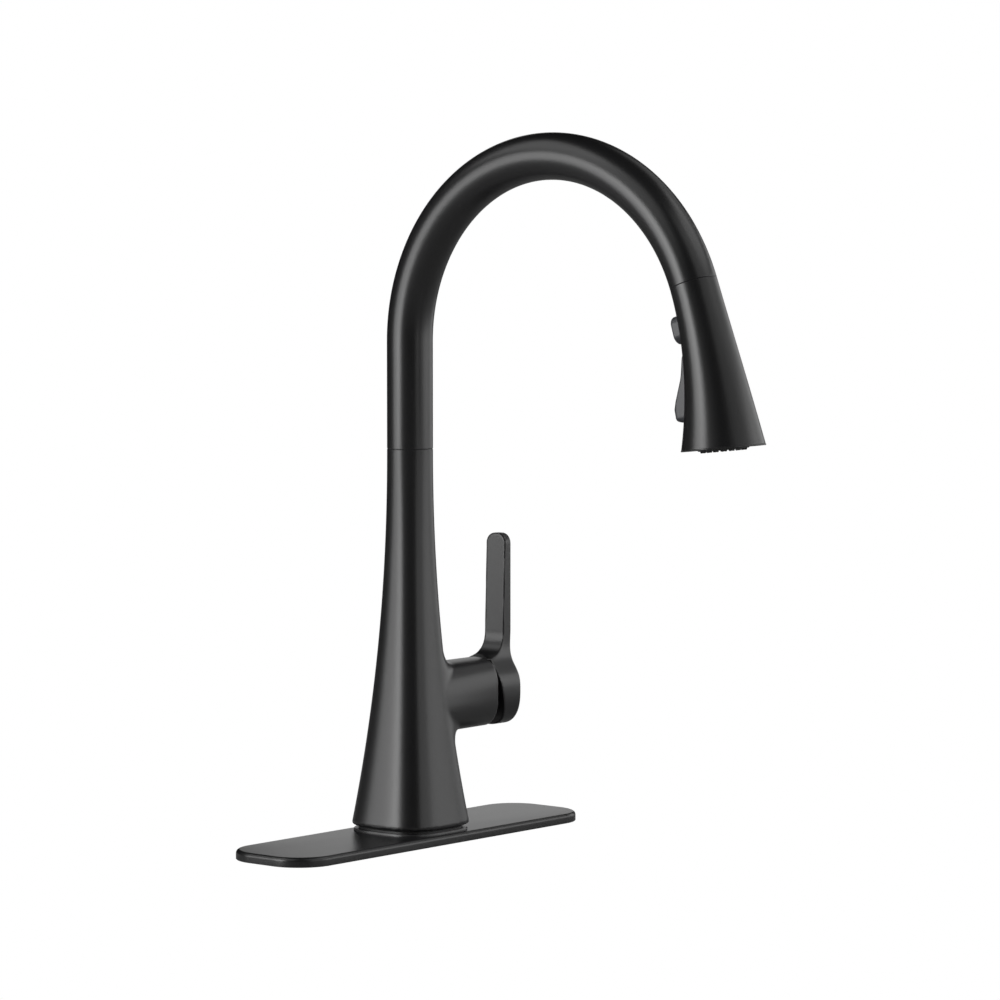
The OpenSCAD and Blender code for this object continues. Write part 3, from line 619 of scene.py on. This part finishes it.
def apply_modifiers(obj):
    """Bakes an object's modifiers into its mesh."""
    bpy.context.view_layer.update()
    graph = bpy.context.evaluated_depsgraph_get()
    mesh = bpy.data.meshes.new_from_object(obj.evaluated_get(graph))
    obj.modifiers.clear()
    obj.data = mesh


def cut_with(obj, tool):
    """Takes a tool object out of obj and deletes the tool."""
    modifier = obj.modifiers.new("cut", "BOOLEAN")
    modifier.operation = "DIFFERENCE"
    modifier.solver = "EXACT"
    modifier.object = tool
    apply_modifiers(obj)
    bpy.data.objects.remove(tool)


def cut_cylinder(obj, place, radius, height):
    """Bores obj along place's Z, the bore centred on it."""
    mesh = bpy.data.meshes.new("bore")
    bm = bmesh.new()
    bmesh.ops.create_cone(bm, cap_ends=True, segments=96, radius1=radius, radius2=radius, depth=height)
    bm.to_mesh(mesh)
    bm.free()
    mesh.transform(place)
    tool = bpy.data.objects.new("bore", mesh)
    bpy.context.scene.collection.objects.link(tool)
    cut_with(obj, tool)


# ---------------------------------------------------------------- spout

def arch_ring(angle, radius, count=72, drop=0.0):
    """Ring of the spout at an angle round the arch, drop below its start."""
    c, s = math.cos(angle), math.sin(angle)
    ring = []
    for t in np.linspace(0, 2 * math.pi, count, endpoint=False):
        reach = ARCH_R + radius * math.cos(t)
        ring.append((radius * math.sin(t), -ARCH_R + reach * c, ARCH_Z - drop + reach * s))
    return ring


def spout_tube():
    """Bent tube with tiny rounded ends."""
    edge = 0.45 * MM
    straight = ARCH_Z - SEAM
    inner = TUBE_R - TUBE_WALL
    steps = 110
    rings = []
    for a in np.linspace(0, math.pi / 2, 4):
        radius = TUBE_R - edge + edge * math.sin(a)
        rings.append(arch_ring(0, radius, drop=straight - edge * (1 - math.cos(a))))
    rings += [arch_ring(0, TUBE_R, drop=straight - edge - d * MM) for d in (0.05, 0.4)]
    rings += [arch_ring(0, TUBE_R, drop=d) for d in np.linspace(straight * 0.95, straight * 0.1, 6)]
    end = ARCH_SWEEP - edge / ARCH_R
    rings += [arch_ring(a, TUBE_R) for a in np.linspace(0, end - 0.005, steps)]
    rings += [arch_ring(a, TUBE_R) for a in (end - 0.0005, end)]
    for a in np.linspace(math.pi / 6, math.pi / 2, 3):
        rings.append(arch_ring(end + edge * math.sin(a) / ARCH_R, TUBE_R - edge + edge * math.cos(a)))
    rings += [arch_ring(a, inner) for a in np.linspace(ARCH_SWEEP, 0, steps // 2)]
    rings += [arch_ring(0, inner, drop=d) for d in (straight * 0.5, straight)]
    return lofted("spout", rings, "spout", "black_metal", ["spout_tube"], wrap=True)


# ---------------------------------------------------------------- spray head

def head_tilt(s):
    """Angle of the head's centreline from upright, s below the seam."""
    return DOCK_TILT - HEAD_BEND * s / HEAD_L


def head_place(s):
    """Frame of the head s below the seam: +Z up along the head, +Y towards the column."""
    a0, a = head_tilt(0), head_tilt(s)
    y = DOCK.y + HEAD_ARC * (math.cos(a0) - math.cos(a))
    z = DOCK.z - HEAD_ARC * (math.sin(a0) - math.sin(a))
    return Matrix.Translation((0, y, z)) @ Matrix.Rotation(-a, 4, "X")


def along_head(joint):
    """How far below the seam a button sits, from the way its joint points."""
    return (DOCK_TILT - math.asin(JOINTS[joint]["axis"][2])) / HEAD_BEND * HEAD_L


PAD_S = along_head("boost_press")
PAD_W = width_of("boost_button")
PAD_H = 16 * MM
PAD_ROUND = 5 * MM
PAD_FACE = 18 * MM
PAD_BACK = 11.7 * MM
ROCKER_S = along_head("diverter_slide")
ROCKER_W = width_of("spray_toggle")
ROCKER_PIVOT = 10 * MM
ROCKER_BACK = 8.2 * MM
ROCKER_SLANT = 2.8 * MM
ROCKER_HIGH = 19.3 * MM
ROCKER_LOW = 21.8 * MM
ROCKER_ROUND = 5 * MM
NOSE_Y = 16 * MM
NOSE_GAP = 1.2 * MM
NOSE_ROUND = 1.6 * MM
GAP = 0.3 * MM


def head_radius(s):
    """Outer radius of the flaring head, s below the seam."""
    return TUBE_R + (HEAD_R - TUBE_R) * (max(s, 0) / HEAD_L) ** 1.85


def head_ring(s, radius, count=112):
    """Ring of the head, s below the seam."""
    place = head_place(s)
    return [tuple(place @ Vector((x, y, 0))) for x, y in circle(radius, count)]


def head_shell():
    """Curved flared casing, hollow, with openings for the button and the rocker."""
    edge = 0.45 * MM
    top = 0.15 * MM
    roof = 3 * MM
    neck = 8.3 * MM
    rings = [head_ring(top, neck)]
    for a in np.linspace(0, math.pi / 2, 4):
        radius = TUBE_R - edge * (1 - math.cos(math.pi / 2 - a))
        rings.append(head_ring(top + edge * (1 - math.sin(a)), radius))
    rings += [head_ring(top + edge + d * MM, head_radius(top + edge + d * MM)) for d in (0.05, 0.3)]
    rings += [head_ring(s, head_radius(s)) for s in np.linspace(1.5 * MM, HEAD_L - 0.4 * MM, 72)]
    rings.append(head_ring(HEAD_L, head_radius(HEAD_L)))
    rings += [head_ring(s, head_radius(s) - SHELL_WALL) for s in np.linspace(HEAD_L, roof, 30)]
    rings.append(head_ring(roof, neck))
    obj = lofted("head_casing", rings, None, "black_metal", wrap=True)
    pad = rounded_box_outline(PAD_W + 2 * GAP, PAD_H + 2 * GAP, PAD_ROUND + GAP, 12)
    cut_with(obj, bar_along(head_place(PAD_S), "Y", pad, 8.5 * MM, 30 * MM))
    slot = rocker_outline(NOSE_GAP, lambda z: 40 * MM, 7.5 * MM)
    slot_half = ROCKER_W / 2 + GAP
    cut_with(obj, bar_along(head_place(ROCKER_S), "X", slot, -slot_half, slot_half))
    mark_smooth(obj, 30)
    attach(obj, "spray_head")
    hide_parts("head_shell")
    return obj


def bar_along(place, axis, outline, start, end):
    """Bar with a given cross-section along its own X or Y, used as a cutting tool."""
    if axis == "X":
        rings = [[tuple(place @ Vector((at, u, v))) for u, v in outline] for at in (start, end)]
    else:
        rings = [[tuple(place @ Vector((u, at, v))) for u, v in outline] for at in (start, end)]
    return lofted("tool", rings, None, "black_metal")


def boost_button():
    """Push button with a softly dished face."""
    outline = rounded_box_outline(PAD_W, PAD_H, PAD_ROUND, 12)

    def field(x, y, z):
        side = outline_distance(x, z, outline)
        dish = 0.3 * MM * np.clip(1 - (z / PAD_H * 2) ** 2, 0, 1) * np.clip(1 - (x / PAD_W * 2) ** 2, 0, 1)
        return blend_cut(np.maximum(side, PAD_BACK - y), y - PAD_FACE + dish, 1.2 * MM)

    low = (-PAD_W / 2, PAD_BACK, -PAD_H / 2)
    high = (PAD_W / 2, PAD_FACE, PAD_H / 2)
    return on_head("boost_pad", PAD_S, field, low, high, "boost", "boost_button")


def on_head(name, s, field, low, high, body, node):
    """Button whose field is written in the head's own frame at s."""
    points, quads = field_mesh(field, low, high, 0.5 * MM)
    place = head_place(s)
    world = [tuple(place @ Vector(p)) for p in points]
    return add_mesh(name, world, quads, body, "button", [node], 50)


def rocker_face(z):
    """Outer face of the rocker in its own frame: nearly flush above, proud below."""
    flush, slope, bend, softness = 18.1 * MM, 0.39, 0.12, 2 * MM
    bend_at, level_below = 3.9 * MM, -13 * MM
    down = max(z, level_below) - bend_at
    return flush - slope * down + bend * math.hypot(down, softness)


def rocker_outline(grow, face, inner, slant=0.0):
    """Side view of the rocker: arcs at both ends, an outer face, and a back that slants below."""
    count = 60
    knee = (inner, -4 * MM)
    ends = []
    lower = (ROCKER_LOW + grow, NOSE_Y, -1)
    upper = (ROCKER_HIGH + min(grow, GAP), ROCKER_PIVOT, 1)
    for radius, middle, side in (lower, upper):
        arc = []
        back = inner + slant if side < 0 else inner
        for y in np.linspace(back, middle + radius * 0.98, count):
            z = side * math.sqrt(radius ** 2 - (y - middle) ** 2)
            if y < face(z):
                arc.append((y, z))
        ends.append(arc)
    low, high = ends
    front = [(face(z), z) for z in np.linspace(low[-1][1], high[-1][1], count)[1:-1]]
    if front[0][0] > ROCKER_PIVOT + ROCKER_HIGH + grow:
        front = []
    return low + front + high[::-1] + [knee]


def spray_toggle():
    """Rocker that stands proud at its lower end."""
    inset = 1.1 * NOSE_ROUND
    back = ROCKER_BACK + NOSE_ROUND
    side = rocker_outline(-NOSE_ROUND, lambda z: rocker_face(z) - inset, back, ROCKER_SLANT)

    def field(x, y, z):
        soft = 1.1 * MM + 1.4 * MM * np.clip((-z - 8 * MM) / (6 * MM), 0, 1)
        beside = np.abs(x) - ROCKER_W / 2 + ROCKER_ROUND
        beyond = np.maximum(z - ROCKER_HIGH, -ROCKER_LOW - z) + ROCKER_ROUND
        corner = np.hypot(np.maximum(beside, 0), np.maximum(beyond, 0))
        front = corner + np.minimum(np.maximum(beside, beyond), 0) - ROCKER_ROUND
        return blend_cut(outline_distance(y, z, side) - NOSE_ROUND, front, soft)

    low = (-ROCKER_W / 2, ROCKER_BACK, -ROCKER_LOW)
    high = (ROCKER_W / 2, 28 * MM, ROCKER_HIGH)
    return on_head("spray_rocker", ROCKER_S, field, low, high, "toggle", "spray_toggle")


def head_trim():
    """Thin lip round the bottom of the head."""
    place = head_place(HEAD_L)
    out = HEAD_R + 0.25 * MM
    inner = HEAD_R - SHELL_WALL + 0.1 * MM
    low, high = -0.9 * MM, -0.05 * MM
    bend = 0.25 * MM
    profile = [(out - bend, high), (out, high - bend), (out, low + bend), (out - bend, low)]
    profile += [(inner + bend, low), (inner, low + bend), (inner, high)]
    return turned("head_lip", profile, place, "spray_head", "black_trim", ["head_trim"], 128)


def spray_face():
    """Rubber spray plate: recessed rim, raised centre with rows of small nozzles."""
    place = head_place(HEAD_L)
    flange = HEAD_R - SHELL_WALL - 0.5 * MM
    rise = 14.5 * MM
    low, shelf, back = -1.5 * MM, 0.6 * MM, 3 * MM
    edge = 0.6 * MM
    centre = 6.2 * MM
    profile = [(centre, back), (centre, low + 0.3 * MM), (centre + 0.4 * MM, low), (rise - edge, low)]
    profile += [(rise - edge * 0.3, low + edge * 0.3), (rise, low + edge), (rise, shelf - 0.15 * MM)]
    profile += [(rise + 0.3 * MM, shelf), (flange, shelf), (flange, back)]
    return turned("spray_plate", profile, place, "spray_head", "face_rubber", ["spray_face"], 128)


def nozzles():
    """Small tapered rubber nozzles in two rows."""
    place = head_place(HEAD_L)
    rows = ((9 * MM, 12), (12.4 * MM, 18))
    # radius and height of one nozzle in millimetres, from its root to the mouth of its hole
    profile = [(0.95, 0.2), (0.9, -1.4), (0.8, -1.7), (0.66, -2.3), (0.5, -2.5), (0.3, -2.48), (0.26, -1.9)]
    count = 18
    last = (len(profile) - 1) * count
    one = grid_faces(len(profile), count, False)
    one += [tuple(range(count - 1, -1, -1)), tuple(range(last, last + count))]
    points, faces = [], []
    for row_r, row_n in rows:
        for cx, cy in circle(row_r, row_n):
            base = len(points)
            for r, z in profile:
                points += [tuple(place @ Vector((cx + x, cy + y, z * MM))) for x, y in circle(r * MM, count)]
            faces += [tuple(base + i for i in face) for face in one]
    return add_mesh("spray_tips", points, faces, "spray_head", "face_rubber", ["spray_nozzles"], 50)


def dock_hose():
    """Hose between the dock and the head, as it lies with the head docked."""
    start = math.radians(156)
    radius = 6 * MM
    first, reach = 0.4 * MM, 9 * MM
    count = 36
    rings = [arch_ring(a, radius, count) for a in np.linspace(start, ARCH_SWEEP, 24)]
    down = Vector((0, -math.sin(DOCK_TILT), -math.cos(DOCK_TILT)))
    for s in np.linspace(first, reach, 22):
        rings.append([tuple(Vector(p) + down * s) for p in arch_ring(ARCH_SWEEP, radius, count)])
    obj = lofted("dock_hose", rings, None, "braid", ["hose_dock_run"])
    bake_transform(obj)
    return obj


# ---------------------------------------------------------------- lever

LEVER_X = lever_high.x
BLADE_T = 5.4 * MM
BLADE_LEAN = 1.7 * MM
BLADE_HALF = 7.5 * MM
BLADE_TOP = lever_high.z
BLADE_ROUND = 6.2 * MM
HUB_LOW = lever_low.z
HUB_HALF = 16.2 * MM
HUB_X = lever_low.x
WEDGE_Z = 92.5 * MM
WEDGE = math.tan(math.radians(13.4))
GAP_LEAN = 0.09
POCKET_R = 11.5 * MM
POCKET_X = 68.5 * MM
NECK_Z = 103 * MM
BLADE_FOOT_Z = 114 * MM
FLARE_Z = 118 * MM


def lever_half(z):
    """Half width of the lever, seen from its outer side, at height z."""
    if z < VALVE_Z:
        return HUB_HALF * max(0.0, 1 - ((VALVE_Z - z) / (VALVE_Z - HUB_LOW)) ** 2.5) ** 0.4
    if z > BLADE_TOP - BLADE_ROUND:
        up = z - BLADE_TOP + BLADE_ROUND
        return BLADE_HALF - BLADE_ROUND + math.sqrt(max(0.0, BLADE_ROUND ** 2 - up ** 2))
    u = min(1.0, (z - VALVE_Z) / (BLADE_FOOT_Z - VALVE_Z))
    ease = u ** 2.2 / (u ** 2.2 + (1 - u) ** 2.6)
    return BLADE_HALF + (HUB_HALF - BLADE_HALF) * (1 - ease)


def blade_inner(z):
    """Inner face of the blade, which is a little thicker at its foot."""
    return LEVER_X - BLADE_T - BLADE_LEAN * (BLADE_TOP - z) / (BLADE_TOP - FLARE_Z)


def lever_inner(z):
    """Inner face of the lever, seen from the front, at height z."""
    if z < WEDGE_Z:
        return HUB_X + (NECK_Z - WEDGE_Z) * GAP_LEAN + (WEDGE_Z - z) * WEDGE
    if z < NECK_Z:
        return HUB_X + (NECK_Z - z) * GAP_LEAN
    if z < FLARE_Z:
        u = (z - NECK_Z) / (FLARE_Z - NECK_Z)
        return HUB_X + (blade_inner(FLARE_Z) - HUB_X) * (1 - (1 - u) ** 2.2) ** (1 / 2.2)
    return blade_inner(z)


def lever():
    """Hub and blade in one casting."""
    low = [VALVE_Z - (VALVE_Z - HUB_LOW) * math.cos(a) for a in np.linspace(0, math.pi / 2, 24)]
    mid = list(np.linspace(VALVE_Z + MM, FLARE_Z, 36))
    high = [BLADE_TOP - BLADE_ROUND * (1 - math.sin(a)) for a in np.linspace(0, math.pi / 2, 14)]
    heights = low + mid + high
    outline = [(lever_half(z), z) for z in heights]
    outline += [(-lever_half(z), z) for z in reversed(heights[1:-1])]
    inner = [(lever_inner(z), z) for z in heights]
    beyond = 5 * MM
    above, below = BLADE_TOP + beyond, HUB_LOW - beyond
    side = [(LEVER_X, below), (LEVER_X, above), (inner[-1][0], above)]
    side += list(reversed(inner[:-1])) + [(inner[0][0] + beyond * WEDGE, below)]

    def field(x, y, z):
        hub = np.clip((FLARE_Z - z) / (18 * MM), 0, 1)
        outer = np.clip((x - LEVER_X + 6 * MM) / (3 * MM), 0, 1)
        soft = 0.7 * MM - 0.2 * MM * hub + 1.8 * MM * hub * outer
        pocket = np.maximum(np.hypot(y, z - VALVE_Z) - POCKET_R, x - POCKET_X)
        solid = blend_cut(outline_distance(y, z, outline), outline_distance(x, z, side), soft)
        return np.maximum(solid, -pocket)

    points, quads = field_mesh(field, tuple(lever_low), tuple(lever_high), 0.7 * MM)
    return add_mesh("lever", points, quads, "lever", "black_metal", ["lever_handle"], 50)


# ---------------------------------------------------------------- shank thread

def shank():
    """Brass shank with a real helical thread above a plain lead."""
    crest = shank_high.x
    pitch = 2 * MM
    depth = 0.6 * MM
    bore = 14.2 * MM
    count = 72
    bottom = shank_low.z
    start = bottom + 14 * MM
    lead = crest - 0.4 * MM
    collar = crest - 0.3 * MM
    chamfer = 0.5 * MM
    below = ((bore, bottom), (lead - chamfer, bottom), (lead, bottom + chamfer), (lead, start))
    above = ((collar, 0.5 * MM), (collar, shank_high.z), (bore, shank_high.z))
    rings = [level_ring(circle(r, count), z) for r, z in below]
    for z in np.arange(start, 0, pitch / 8):
        ring = []
        for t in np.linspace(0, 2 * math.pi, count, endpoint=False):
            phase = (z / pitch - t / (2 * math.pi)) % 1
            r = crest - depth * abs(2 * phase - 1)
            ring.append((r * math.cos(t), r * math.sin(t), z + 0.02 * MM))
        rings.append(ring)
    rings += [level_ring(circle(r, count), z) for r, z in above]
    return lofted("threaded_shank", rings, "root", "brass", ["shank"], wrap=True, sharp=25)


# ---------------------------------------------------------------- build

PIECES = [
    deck_plate(), base_ring(), body_shell(), foot_neck(), spout_tube(),
    head_shell(), boost_button(), spray_toggle(), head_trim(), spray_face(), nozzles(), dock_hose(),
    lever(), shank(),
]

for piece in PIECES:
    piece.data.materials.clear()
    piece.data.materials.append(MATERIALS[piece["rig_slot"]])

NODE_SLOT = {part["node"]: part["material_slot"] for part in frame["record"]["subparts"]}
for node_name, node in frame["nodes"].items():
    node.data.materials.clear()
    node.data.materials.append(MATERIALS[NODE_SLOT[node_name]])


# ---------------------------------------------------------------- floor, light, camera

CAMERA_AZIMUTH = -50.03
CAMERA_PITCH = math.radians(4.272)
CAMERA_LENS = 159.9
CAMERA_BACK = 2.61406
CAMERA_RIGHT = 0.05305
CAMERA_UP = 0.39678


def floor():
    """Pale floor that the camera itself sees as white."""
    mesh = bpy.data.meshes.new("floor")
    half = 6.0
    corners = [(-half, -half, 0), (half, -half, 0), (half, half, 0), (-half, half, 0)]
    mesh.from_pydata(corners, [], [(0, 1, 2, 3)])
    obj = bpy.data.objects.new("floor", mesh)
    bpy.context.scene.collection.objects.link(obj)
    material, tree, shader = new_material("floor_white")
    shader.inputs["Roughness"].default_value = 0.9
    cloud = noise(tree, 3, 2.0)
    tree.links.new(ramp(tree, cloud, (0.40, 0.40, 0.40), (0.42, 0.42, 0.42)), shader.inputs["Base Color"])
    glow = add_node(tree, "ShaderNodeEmission", Strength=1.0)
    path = add_node(tree, "ShaderNodeLightPath")
    mix = add_node(tree, "ShaderNodeMixShader")
    tree.links.new(path.outputs["Is Camera Ray"], mix.inputs["Fac"])
    tree.links.new(shader.outputs["BSDF"], mix.inputs[1])
    tree.links.new(glow.outputs["Emission"], mix.inputs[2])
    tree.links.new(mix.outputs["Shader"], tree.nodes["Material Output"].inputs["Surface"])
    mesh.materials.append(material)


def softbox(name, azimuth, elevation, width, watts):
    """Soft box at an azimuth from the camera's and an elevation, both in degrees."""
    distance = 1.8
    aim = Vector((0, -0.1, 0.22))
    a, e = math.radians(CAMERA_AZIMUTH + azimuth), math.radians(elevation)
    out = Vector((math.sin(a) * math.cos(e), -math.cos(a) * math.cos(e), math.sin(e)))
    place = aim + distance * out
    light = bpy.data.lights.new(name, "AREA")
    light.shape = "RECTANGLE"
    light.size = width
    light.size_y = 1.0
    light.energy = watts
    obj = bpy.data.objects.new(name, light)
    bpy.context.scene.collection.objects.link(obj)
    obj.location = place
    obj.rotation_euler = (aim - place).to_track_quat("-Z", "Y").to_euler()


def camera():
    """Long lens, slightly above the object, looking a little down."""
    across = math.radians(CAMERA_AZIMUTH)
    back = Vector((math.sin(across), -math.cos(across), 0))
    right = Vector((math.cos(across), math.sin(across), 0))
    data = bpy.data.cameras.new("camera")
    data.lens = CAMERA_LENS
    data.sensor_width = 36
    data.clip_end = 50
    obj = bpy.data.objects.new("camera", data)
    bpy.context.scene.collection.objects.link(obj)
    obj.location = back * CAMERA_BACK + right * CAMERA_RIGHT + Vector((0, 0, CAMERA_UP))
    obj.rotation_euler = (math.pi / 2 - CAMERA_PITCH, 0, across)
    bpy.context.scene.camera = obj


def world():
    """White to the camera, black to everything else."""
    sky = bpy.data.worlds.new("studio")
    bpy.context.scene.world = sky
    sky.use_nodes = True
    tree = sky.node_tree
    plain = tree.nodes["Background"]
    plain.inputs["Color"].default_value = (1, 1, 1, 1)
    plain.inputs["Strength"].default_value = 0.0
    seen = add_node(tree, "ShaderNodeBackground")
    seen.inputs["Color"].default_value = (1, 1, 1, 1)
    seen.inputs["Strength"].default_value = 1.0
    path = add_node(tree, "ShaderNodeLightPath")
    mix = add_node(tree, "ShaderNodeMixShader")
    tree.links.new(path.outputs["Is Camera Ray"], mix.inputs["Fac"])
    tree.links.new(plain.outputs["Background"], mix.inputs[1])
    tree.links.new(seen.outputs["Background"], mix.inputs[2])
    tree.links.new(mix.outputs["Shader"], tree.nodes["World Output"].inputs["Surface"])


floor()
world()
camera()
# name, azimuth, elevation, width in metres, watts
for softbox_row in (
        ("key", -60, 7, 0.62, 12.4),
        ("key_side", -80, 7, 0.62, 6.6),
        ("right_front", 50, 7, 1.24, 3.9),
        ("right_side", 90, 7, 1.24, 7.4),
        ("right_back", 130, 7, 1.24, 4.6),
        ("behind", 180, 7, 0.62, 1.4),
        ("high_left", -90, 45, 1.2, 5.0),
        ("high_front_left", -45, 45, 1.2, 3.1),
        ("high_front_right", 45, 45, 1.2, 2.8),
        ("high_right", 90, 45, 1.2, 4.9),
        ("high_back", 135, 45, 1.2, 1.6)):
    softbox(*softbox_row)
bpy.context.scene.view_settings.view_transform = "Standard"
bpy.context.scene.view_settings.look = "None"

bpy.context.view_layer.update()
